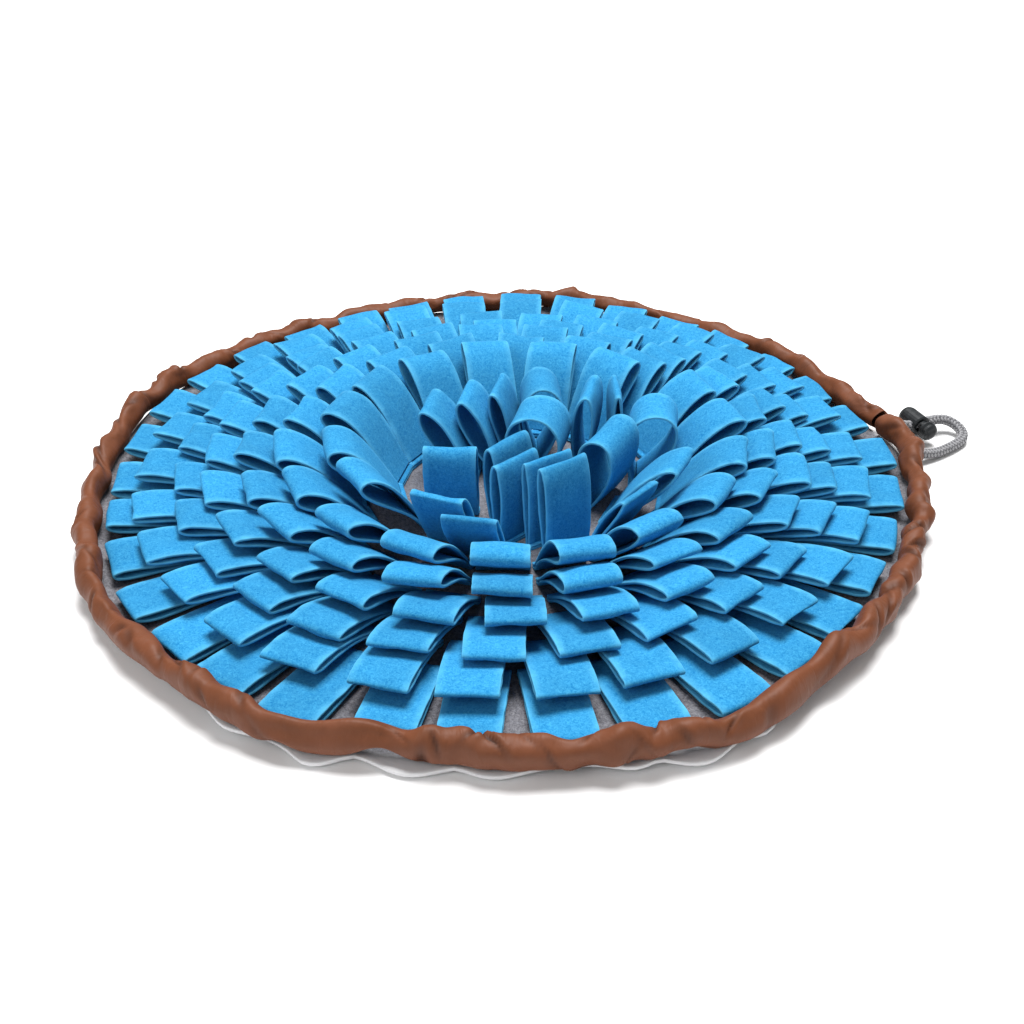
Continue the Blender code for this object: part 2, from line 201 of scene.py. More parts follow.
def add_rolled_grid(
    bm: bmesh.types.BMesh,
    along: int,
    around: int,
    layer: Any,
    place: Place,
    measure: Optional[Measure] = None,
) -> list[bmesh.types.BMVert]:
    """Adds a grid that is laid over a shape, and welds it where its edges meet.

    Args:
        bm: the mesh to add to.
        along: segments along the shape.
        around: segments round it.
        layer: the layer that takes a number for each point.
        place: gives a point in metres and its number from (share along, share around), each from 0 to 1.
        measure: gives metres (along, around) of the cloth from the same two, where its pattern follows it.

    Returns:
        The vertices that are left after welding.
    """
    made = bmesh.ops.create_grid(bm, x_segments=along, y_segments=around, size=0.5)["verts"]

    def shares(vert: bmesh.types.BMVert) -> tuple[float, float]:
        """Where a vertex of the flat grid is."""
        return round((vert.co.x + 0.5) * along) / along, round((vert.co.y + 0.5) * around) / around

    if measure:
        cloth = bm.loops.layers.uv[CLOTH]
        for vert in made:
            for loop in vert.link_loops:
                loop[cloth].uv = measure(*shares(vert))
    for vert in made:
        vert.co, vert[layer] = place(*shares(vert))
    bmesh.ops.remove_doubles(bm, verts=made, dist=WELD)
    return [vert for vert in made if vert.is_valid]


def close_ends(bm: bmesh.types.BMesh, made: list[bmesh.types.BMVert]) -> None:
    """Closes the open ends of a rolled grid."""
    ends = [edge for edge in {edge for vert in made for edge in vert.link_edges} if edge.is_boundary]
    bmesh.ops.holes_fill(bm, edges=ends, sides=0)


def as_object(name: str, bm: bmesh.types.BMesh, finish: bpy.types.Material, slot: Slot) -> Any:
    """Turns a bmesh into a smooth piece that rides on the mat.

    Args:
        name: the piece's name.
        bm: its mesh, which is freed.
        finish: its material.
        slot: the record's slot that its finish belongs to; not used.

    Returns:
        The new object, at the origin.
    """
    bmesh.ops.recalc_face_normals(bm, faces=bm.faces)
    mesh = bpy.data.meshes.new(name)
    bm.to_mesh(mesh)
    bm.free()
    mesh.shade_smooth()
    mesh.materials.append(finish)
    piece = bpy.data.objects.new(name, mesh)
    bpy.context.scene.collection.objects.link(piece)
    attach(piece, BODY)
    log.info("%s: %d faces", name, len(mesh.polygons))
    return piece


def point_layer(bm: bmesh.types.BMesh, name: str) -> Any:
    """Makes a layer of numbers on a mesh's points, for its material to read."""
    return bm.verts.layers.float.new(name)


# -------------------- Finishes --------------------


def linear(colour: str) -> tuple[float, float, float, float]:
    """Turns an sRGB hex colour into a shader's linear one.

    Args:
        colour: such as "#41a8e2".

    Returns:
        Red, green, blue and an alpha of 1.
    """
    parts = [int(colour[k : k + 2], 16) / 255 for k in (1, 3, 5)]
    parts = [p / 12.92 if p <= 0.04045 else ((p + 0.055) / 1.055) ** 2.4 for p in parts]
    return (*parts, 1.0)


def feed(tree: Any, node: Any, inputs: dict[Any, Any]) -> None:
    """Sets a node's inputs, each to a value or by a link to another node's output."""
    for name, value in inputs.items():
        if isinstance(value, bpy.types.NodeSocket):
            tree.links.new(value, node.inputs[name])
        else:
            node.inputs[name].default_value = value


def add_node(tree: Any, kind: str, output: Any, inputs: dict[Any, Any], **settings: Any) -> Any:
    """Adds a shader node.

    Args:
        tree: the node tree.
        kind: the node's type name, without the ShaderNode that they all start with.
        output: name or number of the output that is used.
        inputs: a value or another node's output, by socket name or number.
        settings: the node's own properties.

    Returns:
        The output's socket.
    """
    node = tree.nodes.new("ShaderNode" + kind)
    for name, value in settings.items():
        setattr(node, name, value)
    feed(tree, node, inputs)
    return node.outputs[output]


def per_mm(size: float) -> float:
    """A texture scale, in repeats a metre, from the size of a repeat in millimetres."""
    return 1 / (size * MM)


FACTOR, FIRST, SECOND, MIXED = 0, 6, 7, 2  # a colour Mix node's sockets
WAVE_LENGTH = 20  # a wave texture's scale of 1 gives 20 waves in a unit
SHADER = "Principled BSDF"


@dataclass(frozen=True)
class Finish:
    """What every finish starts from."""

    name: str

    def start(self) -> tuple[bpy.types.Material, Any, Any]:
        """Makes the material, and gives it with its node tree and its pieces' own coordinates."""
        made = bpy.data.materials.new(self.name)
        made.use_nodes = True
        tree = made.node_tree
        return made, tree, add_node(tree, "TexCoord", "Object", {})


@dataclass(frozen=True)
class NeedledFelt(Finish):
    """Needle-punched polyester felt: matt, softly mottled by its tangled fibres, paler where it is cut, and
    on the base painted pale for light on its margin.
    """

    face: str
    dark_fibre: str
    pale_fibre: str
    # paler colour of cut edges; in the base's finish it is also painted light on the margin that shows beyond
    # the casing
    cut: str
    tangle: float = 1.7  # real tangles are 0.5 mm across: drawn coarser, so that they show
    cloud: float = 11.0
    melange: float = 0.3  # how far the fibres' colours differ from the face's
    sheen: float = 0.25
    nap: float = 0.35  # how far the tangles stand out
    uneven: tuple[float, float] = (0.82, 1.14)  # brightness of the darkest strip and of the palest

    def make(self) -> bpy.types.Material:
        """Builds the material."""
        made, tree, where = self.start()
        tangle = add_node(tree, "TexNoise", "Fac", {
            "Vector": where, "Scale": per_mm(self.tangle), "Detail": 4.0, "Roughness": 0.65,
            "Distortion": 1.2,
        })
        cloud = add_node(tree, "TexNoise", "Fac", {
            "Vector": where, "Scale": per_mm(self.cloud), "Detail": 2.0, "Roughness": 0.5,
        })
        fibres = add_node(tree, "MapRange", "Result", {
            "Value": tangle, "From Min": 0.3, "From Max": 0.7, "To Min": 0.0, "To Max": 1.0,
        })
        mixed = add_node(tree, "Mix", MIXED, {
            FACTOR: fibres, FIRST: linear(self.dark_fibre), SECOND: linear(self.pale_fibre),
        }, data_type="RGBA")
        body = add_node(tree, "Mix", MIXED, {
            FACTOR: self.melange, FIRST: linear(self.face), SECOND: mixed,
        }, data_type="RGBA")
        strip = add_node(tree, "Attribute", "Fac", {}, attribute_name="strip")
        shade = add_node(tree, "Math", "Value", {0: strip, 1: cloud}, operation="ADD")
        darkest, palest = self.uneven
        value = add_node(tree, "MapRange", "Result", {
            "Value": shade, "From Min": 0.2, "From Max": 1.6, "To Min": darkest, "To Max": palest,
        })
        tinted = add_node(tree, "HueSaturation", "Color", {"Color": body, "Value": value})
        # Paler at cut edges; on the base this mask also carries painted light on the margin beyond the
        # casing.
        edge = add_node(tree, "Attribute", "Fac", {}, attribute_name="cut_edge_and_painted_light")
        colour = add_node(tree, "Mix", MIXED, {
            FACTOR: edge, FIRST: tinted, SECOND: linear(self.cut),
        }, data_type="RGBA")
        relief = add_node(tree, "Bump", "Normal", {
            "Height": tangle, "Strength": 0.55, "Distance": self.nap * MM,
        })
        feed(tree, tree.nodes[SHADER], {
            "Base Color": colour,
            "Normal": relief,
            "Roughness": 0.95,
            "Specular IOR Level": 0.2,
            "Sheen Weight": self.sheen,
            "Sheen Roughness": 0.5,
            "Sheen Tint": linear(self.pale_fibre),
        })
        return made


@dataclass(frozen=True)
class WovenNylon(Finish):
    """Thin plain-woven nylon: smooth, with a soft satin gleam along its puckers, and painted shade in its
    creases.
    """

    face: str
    # colour of the painted shade deep in the creases and along the hem
    painted_shade: str
    worn: str
    thread: float = 0.7  # real threads are 0.2 mm apart: drawn coarser, so that they show
    thread_relief: float = 0.12
    pucker: tuple[float, float] = (5.0, 16.0)  # of fine wrinkles, along the casing and round it
    pucker_relief: float = 1.0
    cloud: float = 14.0  # size of its worn patches

    def make(self) -> bpy.types.Material:
        """Builds the material."""
        made, tree, where = self.start()
        cloth = add_node(tree, "UVMap", "UV", {}, uv_map=CLOTH)
        scale = (per_mm(self.pucker[0]), per_mm(self.pucker[1]), 1.0)
        wrinkled = add_node(tree, "Mapping", "Vector", {"Vector": cloth, "Scale": scale})
        puckers = add_node(tree, "TexNoise", "Fac", {
            "Vector": wrinkled, "Scale": 1.0, "Detail": 3.0, "Roughness": 0.5, "Distortion": 0.6,
        }, noise_dimensions="2D")
        bands = {"Vector": cloth, "Scale": per_mm(self.thread) / WAVE_LENGTH, "Distortion": 0.0}
        warp, weft = (add_node(tree, "TexWave", "Fac", bands, bands_direction=axis) for axis in "XY")
        threads = add_node(tree, "Math", "Value", {0: warp, 1: weft}, operation="MULTIPLY")
        cloud = add_node(tree, "TexNoise", "Fac", {
            "Vector": where, "Scale": per_mm(self.cloud), "Detail": 3.0, "Roughness": 0.6,
        })
        worn = add_node(tree, "MapRange", "Result", {
            "Value": cloud, "From Min": 0.35, "From Max": 0.75, "To Min": 0.0, "To Max": 0.8,
        })
        face = add_node(tree, "Mix", MIXED, {
            FACTOR: worn, FIRST: linear(self.face), SECOND: linear(self.worn),
        }, data_type="RGBA")
        painted_shade_mask = add_node(tree, "Attribute", "Fac", {}, attribute_name="painted_shade")
        # Painted shade: the colour darkens deep in the pinches and along the hem's groove.
        colour = add_node(tree, "Mix", MIXED, {
            FACTOR: painted_shade_mask, FIRST: face, SECOND: linear(self.painted_shade),
        }, data_type="RGBA")
        weave = add_node(tree, "Bump", "Normal", {
            "Height": threads, "Strength": 0.2, "Distance": self.thread_relief * MM,
        })
        relief = add_node(tree, "Bump", "Normal", {
            "Height": puckers, "Strength": 0.5, "Distance": self.pucker_relief * MM, "Normal": weave,
        })
        feed(tree, tree.nodes[SHADER], {
            "Base Color": colour,
            "Normal": relief,
            "Roughness": 0.58,
            "Specular IOR Level": 0.3,
            "Sheen Weight": 0.06,
            "Sheen Roughness": 0.35,
            "Sheen Tint": linear(self.worn),
        })
        return made


@dataclass(frozen=True)
class KnittedYarn(Finish):
    """Polyester yarn of a knitted cord: soft plied strands, light and dark grey side by side."""

    pale: str
    dark: str
    ply: float = 1.1  # along a strand, from one ply to the next
    fuzz: float = 0.8

    def make(self) -> bpy.types.Material:
        """Builds the material."""
        made, tree, where = self.start()
        cloth = add_node(tree, "UVMap", "UV", {}, uv_map=CLOTH)
        plies = add_node(tree, "TexWave", "Fac", {
            "Vector": cloth, "Scale": per_mm(self.ply) / WAVE_LENGTH, "Distortion": 1.0,
        }, bands_direction="DIAGONAL")
        fuzz = add_node(tree, "TexNoise", "Fac", {
            "Vector": where, "Scale": per_mm(self.fuzz), "Detail": 3.0, "Roughness": 0.6,
        })
        yarn = add_node(tree, "Attribute", "Fac", {}, attribute_name="yarn")
        shade = add_node(tree, "Math", "Value", {0: yarn, 1: fuzz}, operation="ADD")
        share = add_node(tree, "MapRange", "Result", {
            "Value": shade, "From Min": 0.35, "From Max": 1.25, "To Min": 0.0, "To Max": 1.0,
        })
        colour = add_node(tree, "Mix", MIXED, {
            FACTOR: share, FIRST: linear(self.pale), SECOND: linear(self.dark),
        }, data_type="RGBA")
        relief = add_node(tree, "Bump", "Normal", {"Height": plies, "Strength": 0.5, "Distance": 0.2 * MM})
        feed(tree, tree.nodes[SHADER], {
            "Base Color": colour,
            "Normal": relief,
            "Roughness": 0.85,
            "Sheen Weight": 0.3,
            "Sheen Roughness": 0.4,
        })
        return made


@dataclass(frozen=True)
class MouldedAcetal(Finish):
    """Injection-moulded acetal: near black with a slate cast, a fine grain and a low satin gloss."""

    colour: str
    scuffed: str
    grain: float = 0.5  # real grain is 0.05 mm: drawn coarser, so that it shows
    scuffs: float = 3.0

    def make(self) -> bpy.types.Material:
        """Builds the material."""
        made, tree, where = self.start()
        grain = add_node(tree, "TexNoise", "Fac", {
            "Vector": where, "Scale": per_mm(self.grain), "Detail": 3.0, "Roughness": 0.6,
        })
        scuffs = add_node(tree, "TexNoise", "Fac", {
            "Vector": where, "Scale": per_mm(self.scuffs), "Detail": 5.0, "Roughness": 0.7,
        })
        share = add_node(tree, "MapRange", "Result", {
            "Value": scuffs, "From Min": 0.45, "From Max": 0.8, "To Min": 0.0, "To Max": 1.0,
        })
        rough = add_node(tree, "MapRange", "Result", {
            "Value": scuffs, "From Min": 0.3, "From Max": 0.7, "To Min": 0.36, "To Max": 0.55,
        })
        colour = add_node(tree, "Mix", MIXED, {
            FACTOR: share, FIRST: linear(self.colour), SECOND: linear(self.scuffed),
        }, data_type="RGBA")
        relief = add_node(tree, "Bump", "Normal", {"Height": grain, "Strength": 0.3, "Distance": 0.1 * MM})
        feed(tree, tree.nodes[SHADER], {
            "Base Color": colour, "Roughness": rough, "Normal": relief, "IOR": 1.48,
        })
        return made


# Polyester felt, needle punched: its face takes the light evenly, and its cut edges fluff up paler.
BLUE_FELT = NeedledFelt(
    "needled_felt_blue", "#0f79ae", "#045290", "#5ab6de", "#58b0d8", tangle=1.4, melange=0.42, sheen=0.16
)
# The base's felt is spun from white, grey and charcoal fibres, so it looks salt and pepper. Its last colour,
# #dcdcde, is painted light on the margin that shows beyond the casing.
GREY_FELT = NeedledFelt(
    "needled_felt_melange", "#5e5d62", "#38373c", "#929196", "#dcdcde", tangle=1.5, melange=0.75, sheen=0.1
)
# Nylon taffeta: the weave is almost invisible, and its puckers catch a soft gleam. Its second colour is
# painted shade for its creases.
BROWN_NYLON = WovenNylon("woven_nylon_brown", "#64371e", "#220f08", "#734128")
# Knitted polyester cord: pale and dark yarns lie side by side.
GREY_YARN = KnittedYarn("knitted_yarn_grey", "#a9a9ac", "#3e3e42")
# Acetal, as most cord locks are moulded from: it slides well and looks slightly waxy.
BLACK_ACETAL = MouldedAcetal("moulded_acetal_black", "#121619", "#22282c")


# -------------------- Felt loops --------------------


@dataclass(frozen=True)
class FeltStock:
    """The felt that the loops are cut from, and how a loop is sewn down."""

    width: float = 30.0
    thick: float = 1.7
    seam_gap: float = 0.5
    seam_height: float = 1.2
    tail: float = 4.0  # from the seam to the strip's sewn end
    edge_round: float = 0.6  # how far in from its cut edge a strip is rounded
    across: int = 8  # segments over a strip's face
    along: int = 48  # segments round a loop
    tail_steps: int = 3
    rag: float = 0.35  # how ragged its cut edge is
    lump: float = 0.9  # how uneven its face is

    def section(self) -> list[Triple]:
        """Points round a strip's cross-section.

        Returns:
            (place across, place through, nearness to the cut edge) of each point, back to the first.
        """
        half, inset = self.width / 2, self.edge_round
        face = [-half + inset + (self.width - 2 * inset) * k / self.across for k in range(self.across + 1)]
        rim = [(half - 0.12 * inset, 0.36, 1.0), (half, 0.0, 1.0), (half - 0.12 * inset, -0.36, 1.0)]
        upper = [(y, 0.5, 0.5 if k in (0, self.across) else 0.0) for k, y in enumerate(face)]
        lower = [(y, -0.5, near) for y, _, near in reversed(upper)]
        other = [(-y, -through, near) for y, through, near in rim]
        points = [*upper, *rim, *lower, *other]
        return [*points, points[0]]


STOCK = FeltStock()


@dataclass(frozen=True)
class Leaf:
    """Line of a folded strip, seen from its side: a leaf shape that comes back to where it starts."""

    length: float
    belly: float
    crown: float
    arch: float
    sharpness: float

    def point(self, angle: float) -> tuple[float, float]:
        """Gives a point of the line.

        Args:
            angle: 0 at the lower leg's root, pi at the fold and 2 pi at the upper leg's root.

        Returns:
            How far along the leaf and how far across it, in millimetres.
        """
        along = self.length * (1 - math.cos(angle)) / 2
        share = along / self.length
        bow = self.crown if angle > math.pi else self.belly
        across = -bow * math.sin(angle) * abs(math.sin(angle / 2)) ** self.sharpness
        across += 4 * self.arch * share * (1 - share)
        across += (STOCK.thick + STOCK.seam_gap) * (angle / math.tau - 0.5) * (1 - share)
        return along, across


@dataclass
class FeltLoop:
    """One strip of felt, folded into a loop and sewn down by its two ends."""

    seam: Matrix  # the seam's frame: x points out of the mat, z up
    slope: float
    middle: float  # height of the leaf's root
    yaw: float
    leaf: Leaf
    twist: float
    skew: float
    chance: random.Random

    def line(self) -> list[Vector]:
        """Points along the strip's middle, from one sewn end to the other, as (out, 0, up) from the seam."""
        slope = self.slope
        points = []
        for k in range(STOCK.along + 1):
            along, across = self.leaf.point(math.tau * k / STOCK.along)
            out = along * math.cos(slope) - across * math.sin(slope)
            points.append(Vector((out, 0, self.middle + along * math.sin(slope) + across * math.cos(slope))))
        level = PLAN.base_thick + STOCK.thick / 2
        lower = self.tail(points[0], level)
        upper = self.tail(points[-1], level + STOCK.thick)
        return [*lower, *points, *reversed(upper)]

    def tail(self, root: Vector, level: float) -> list[Vector]:
        """Points of a sewn end, from its cut end to just before the leg's root, lying at a height."""
        end = Vector((-STOCK.tail, 0, level))
        points = []
        for k in range(STOCK.tail_steps):
            share = k / STOCK.tail_steps
            rise = share**2
            points.append(Vector((end.x + (root.x - end.x) * share, 0, level + (root.z - level) * rise)))
        return points

    def add(self, bm: bmesh.types.BMesh, near_cut_and_painted_light: Any, strip: Any) -> float:
        """Adds the strip to a mesh.

        Args:
            bm: the mesh.
            near_cut_and_painted_light: the layer for nearness to the cut edge.
            strip: the layer for the strip's own tint.

        Returns:
            The strip's cut length in millimetres.
        """
        line = self.line()
        count = len(line)
        section = STOCK.section()
        along = Vector((math.cos(self.slope), 0, math.sin(self.slope)))
        across = Vector((-along.z, 0, along.x))
        root = Vector((0, 0, self.middle))
        cup = self.chance.uniform(-0.7, 0.9)
        wander = self.chance.uniform(0, 100)
        tint = self.chance.uniform(0, 1)
        normals, squeeze = self.sides(line)
        turned = Matrix.Rotation(self.yaw, 4, "Z")

        def place(u: float, v: float) -> tuple[Vector, float]:
            """A point of the strip, and its tint."""
            i = round(u * (count - 1))
            y, through, _ = section[round(v * (len(section) - 1))]
            centre, normal = line[i], normals[i]
            share = max(0.0, (centre - root).dot(along) / self.leaf.length)
            thick = STOCK.thick * (squeeze[i][0] if through > 0 else squeeze[i][1])
            spread = y / (STOCK.width / 2)
            bend = cup * share * (1 - spread**2)
            rag = noise.noise(Vector((i * 0.45, wander, spread * 3))) * STOCK.rag
            lump = noise.noise(Vector((i * 0.16, y * 0.09, wander))) * STOCK.lump * share
            point = centre + normal * (through * thick + bend + lump)
            point += along * (y * math.tan(self.skew) * share) + across * (y * math.tan(self.twist * share))
            point.y = y + rag * abs(spread) ** 6
            return (self.seam @ turned @ point) * MM, tint

        made = add_rolled_grid(bm, count - 1, len(section) - 1, strip, place)
        close_ends(bm, made)
        inverse = (self.seam @ turned).inverted()
        inner = STOCK.width / 2 - STOCK.edge_round
        for vert in made:
            side = abs((inverse @ (vert.co / MM)).y)
            vert[near_cut_and_painted_light] = min(1.0, max(0.0, (side - inner) / STOCK.edge_round + 0.4))
        return sum((b - a).length for a, b in zip(line, line[1:]))

    def sides(self, line: list[Vector]) -> tuple[list[Vector], list[tuple[float, float]]]:
        """Works out which way the strip's face looks along its line, and how far a fold squeezes its inside.

        Args:
            line: the strip's middle line.

        Returns:
            A normal for each point, and the share of the thickness left on its two sides.
        """
        normals, squeeze = [], []
        for i, here in enumerate(line):
            before, after = line[max(i - 1, 0)], line[min(i + 1, len(line) - 1)]
            run = (after - before).normalized()
            normal = Vector((run.z, 0, -run.x))
            normals.append(normal)
            left = right = 1.0
            if 0 < i < len(line) - 1:
                into, away = (here - before), (after - here)
                turn = into.x * away.z - into.z * away.x
                angle = math.asin(max(-1.0, min(1.0, turn / (into.length * away.length))))
                if abs(angle) > 1e-6:
                    radius = (into.length + away.length) / 2 / abs(angle)
                    room = min(1.0, 1.6 * radius / STOCK.thick)
                    if angle > 0:
                        right = room
                    else:
                        left = room
            squeeze.append((left, right))
        return normals, squeeze


@dataclass(frozen=True)
class Ring:
    """One ring of loops, or an arc of one."""

    x: float  # middle of the ring
    y: float
    seam: float  # radius of the seam
    count: int
    first: float  # azimuth of its first loop, degrees
    pitch: float  # from one loop to the next, degrees
    reach: float  # from the seam out to the fold
    rise: float  # height of the fold
    belly: float
    crown: float
    arch: float
    lift: float  # how much steeper the loops stand at the back, degrees


@dataclass(frozen=True)
class Upright:
    """One loop that stands in the heart of the mat."""

    x: float
    y: float
    faces: float  # azimuth that it leans towards, degrees
    lean: float
    height: float
    belly: float
    crown: float
    skew: float  # how far its fold slants, degrees


@dataclass
class FeltLoops:
    """All the blue felt loops: seven rings and arcs of them, and the single ones that stand in the heart."""

    rings: tuple[Ring, ...] = (
        Ring(0, 0, 180, 34, 2.0, 360 / 34, 52, 10, 5.0, 3.0, 0.0, 12),
        Ring(0.2, -0.4, 161, 30, 2.0, 360 / 30, 51, 19, 4.5, 2.6, 3.2, 7),
        Ring(1, -1.6, 141, 27, 2.0, 360 / 27, 49, 24.5, 5.0, 4.0, 2.5, 3),
        Ring(2.2, -3.7, 123, 24, 2.0, 360 / 24, 48, 31, 5.5, 5.0, 3.0, 0),
        Ring(3.9, -6.5, 105, 21, 11.6, 360 / 21, 46, 37, 6.5, 6.5, 3.5, 0),
        Ring(6.1, -10.2, 87, 17, -31.8, 19.9, 43, 43, 9.0, 8.5, 4.0, 0),
        Ring(8.8, -9, 67, 8, 53, 23.25, 39, 49, 10.5, 10.5, 3.5, 0),
    )
    uprights: tuple[Upright, ...] = (
        Upright(20, -5.5, 345, 2, 55, 21, 20, 0),
        Upright(59, -22, 325, 6, 51, 13, 15, 10),
        Upright(-28, -37, 265, 5, 50, 9, 7, 0),
        Upright(5, -38, 135, 2, 51, 6, 6, 0),
        Upright(9, -60, 132, 2, 53, 5, 5, 0),
        Upright(27, -63, 122, 3, 55, 3.5, 3.5, 0),
        Upright(36, -73, 124, 5, 57, 4, 5, 0),
        Upright(62, -77.8, 305, 37, 40, 4, 11, 0),
        Upright(22, 30, 2, 2, 55, 16, 13.5, 0),
        Upright(-17, 8, 169, 28, 49, 8, 8, 0),
        Upright(-1, 18, 168, 21, 50, 8, 7, 0),
        Upright(9, 28, 167, 12, 51, 5, 5.5, 0),
        Upright(49.8, 17.4, 345, 4, 56, 7, 8.5, 0),
        Upright(64.8, -39, 336, 40, 47, 4, 8, 0),
        Upright(57, -68, 317, 24, 46, 1.5, 5, 0),
        Upright(81, 1, 353, 15, 52, 15.5, 19, 0),
        Upright(69, 20.8, 2, 0, 54, 3, 3.5, 0),
        Upright(-27.4, -66.2, 250, 21, 45, 1.8, 8, 0),
        Upright(-11, -79.6, 256, 24, 43, 4, 3.5, 0),
    )
    stretch: float = 0.010  # how much wider each ring is across than the last, and shorter front to back
    tip_space: float = 3.0  # from the outermost folds to the casing
    ring_sharpness: float = 3.0
    upright_sharpness: float = 1.0

    def __post_init__(self) -> None:
        """Works out the height that the loops stand on."""
        self.floor = PLAN.base_thick + PLAN.fit

    def root_height(self, slope: float) -> float:
        """Height of a leaf's root above the floor, for a loop that rises at a slope."""
        return self.floor + STOCK.seam_height + (STOCK.thick + STOCK.seam_gap / 2) * math.cos(slope)

    def seam_frame(self, index: int, azimuth: float) -> Matrix:
        """Frame of a ring's seam at an azimuth, with x pointing outwards."""
        ring = self.rings[index]
        wide, deep = 1 + self.stretch * index, 1 - self.stretch * index
        turn = math.radians(azimuth)
        x, y = ring.x + wide * math.cos(turn) * ring.seam, ring.y + deep * math.sin(turn) * ring.seam
        return Matrix.Translation((x, y, 0)) @ Matrix.Rotation(turn, 4, "Z")

    def ring_loops(self, index: int) -> Iterator[FeltLoop]:
        """Gives the loops of a ring, drawn by chance in the same order as in the part's solids."""
        ring = self.rings[index]
        chance = random.Random(SEED + index)
        own = random.Random(SEED * 100 + index)
        slope = math.atan2(ring.rise - self.floor - STOCK.seam_height - STOCK.thick, ring.reach)
        middle = self.root_height(slope)
        for i in range(ring.count):
            azimuth = ring.first + i * ring.pitch
            reach = ring.reach * chance.uniform(0.97, 1.03)
            if index == 0:
                reach = PLAN.casing_inside(azimuth) - self.tip_space - STOCK.thick - ring.seam
            leaf = Leaf(
                math.hypot(reach, ring.rise - middle),
                ring.belly * chance.uniform(0.8, 1.1),
                ring.crown * chance.uniform(0.8, 1.1),
                ring.arch,
                self.ring_sharpness,
            )
            yaw = math.radians(chance.uniform(-2.5, 2.5))
            pitch = math.radians(ring.lift * PLAN.backness(azimuth) + chance.uniform(-1.0, 1.0))
            twist = math.radians(chance.uniform(-4, 4))
            skew = math.radians(chance.uniform(-6, 6)) if index else 0.0
            yield FeltLoop(
                self.seam_frame(index, azimuth), slope + pitch, middle, yaw, leaf, twist, skew, own
            )

    def upright_loop(self, row: Upright, own: random.Random) -> FeltLoop:
        """Gives one standing loop."""
        slope = math.atan2(row.height - self.floor - STOCK.seam_height, row.lean)
        middle = self.root_height(slope)
        seam = Matrix.Translation((row.x, row.y, 0)) @ Matrix.Rotation(math.radians(row.faces), 4, "Z")
        leaf = Leaf(
            math.hypot(row.height - middle, row.lean), row.belly, row.crown, 0.0, self.upright_sharpness
        )
        return FeltLoop(seam, slope, middle, 0.0, leaf, 0.0, math.radians(row.skew), own)

    def add_piece(self, name: str, node: str, loops: list[FeltLoop], finish: bpy.types.Material) -> None:
        """Makes one piece of folded strips, which stands for a node of the part."""
        bm = bmesh.new()
        near_cut_and_painted_light, strip = point_layer(bm, "cut_edge_and_painted_light"), point_layer(bm, "strip")
        length = sum(loop.add(bm, near_cut_and_painted_light, strip) for loop in loops)
        piece = as_object(name, bm, finish, Slot.BLUE_FELT)
        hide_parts(node)

    def build(self, finish: bpy.types.Material) -> None:
        """Makes every ring and every standing loop."""
        for index in range(len(self.rings)):
            name = f"felt_ring_{index + 1}"
            self.add_piece(f"blue_strips_ring_{index + 1}", name, list(self.ring_loops(index)), finish)
        own = random.Random(SEED * 1000)
        for k, row in enumerate(self.uprights, start=1):
            loop = self.upright_loop(row, own)
            self.add_piece(f"blue_strip_heart_{k:02d}", f"heart_loop_{k:02d}", [loop], finish)


# -------------------- Base and casing --------------------


@dataclass
class FeltBase:
    """Round base of thick melange felt, flat where it lies and turned up at its margin."""

    flat_radius: float = 222.0
    inset: float = 0.5  # of its cut edge from the casing's middle line
    # where the margin shows under the casing: azimuth, half of the width in degrees, how far out it comes
    scallops: tuple[Triple, ...] = (
        *((239, 3.0, 4), (250, 3.0, 8.5), (260, 4.5, 9.5), (269, 4.0, 6)),
        *((284, 3.0, 5), (291, 4.0, 8.5), (299, 2.5, 4.5)),
    )
    steps: int = 360
    radial: int = 12
    margin_steps: int = 10
    ripple: float = 0.25
    drop: float = 0.04  # share of the curl that a scallop loses with each millimetre
    pale: tuple[float, float] = (-3, 2)  # where the painted light on the margin starts and is fullest, from the middle line

    def shows(self, azimuth: float) -> float:
        """How far the margin comes out under the casing, in millimetres."""
        return max(out * hump(azimuth, at, half) for at, half, out in self.scallops)

    def build(self, finish: bpy.types.Material) -> None:
        """Makes the base."""
        profile = self.profile()
        bm = bmesh.new()
        near_cut_and_painted_light, strip = point_layer(bm, "cut_edge_and_painted_light"), point_layer(bm, "strip")

        def place(u: float, v: float) -> tuple[Vector, float]:
            """A point of the base, and its tint."""
            azimuth = 360 * (u % 1)
            radial, margin, level = profile[round(v * (len(profile) - 1))]
            out = self.shows(azimuth)
            rim = PLAN.radius(azimuth) - self.inset + out
            radius = self.flat_radius * radial + (rim - self.flat_radius) * margin
            lift = PLAN.curl(azimuth) * margin**2 * (1 - self.drop * out * margin**4)
            point = polar(radius, azimuth, level + lift)
            if level > PLAN.base_thick / 2:
                point.z += noise.noise(point * 60) * self.ripple * MM * min(1.0, radius / 30)
            return point, 0.5

        # Painted light: the margin beyond the casing's middle line, with its cut edge, is painted pale for
        # the light on its turned-up edge.
        for vert in add_rolled_grid(bm, self.steps, len(profile) - 1, strip, place):
            outside = vert.co.xy.length / MM - PLAN.radius(math.degrees(math.atan2(vert.co.y, vert.co.x)))
            start, full = self.pale
            vert[near_cut_and_painted_light] = min(1.0, max(0.0, (outside - start) / (full - start)))
        piece = as_object("grey_felt_base", bm, finish, Slot.GREY_FELT)
        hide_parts("base")

    def profile(self) -> list[Triple]:
        """Points from the middle of the top, over the cut edge, to the middle of the underside.

        Returns:
            (share of the flat radius, share of the margin, height) of each point.
        """
        thick = PLAN.base_thick
        flat = [(k / self.radial, 0.0) for k in range(self.radial + 1)]
        margin = [(1.0, k / self.margin_steps) for k in range(1, self.margin_steps)]
        top = [(radial, share, thick) for radial, share in [*flat, *margin]]
        edge = [
            (1.0, 0.985, thick),
            (1.0, 1.0, thick * 0.8),
            (1.0, 1.006, thick / 2),
            (1.0, 1.0, thick * 0.2),
            (1.0, 0.985, 0.0),
        ]
        bottom = [(radial, share, 0.0) for radial, share, _ in reversed(top)]
        return [*top, *edge, *bottom]


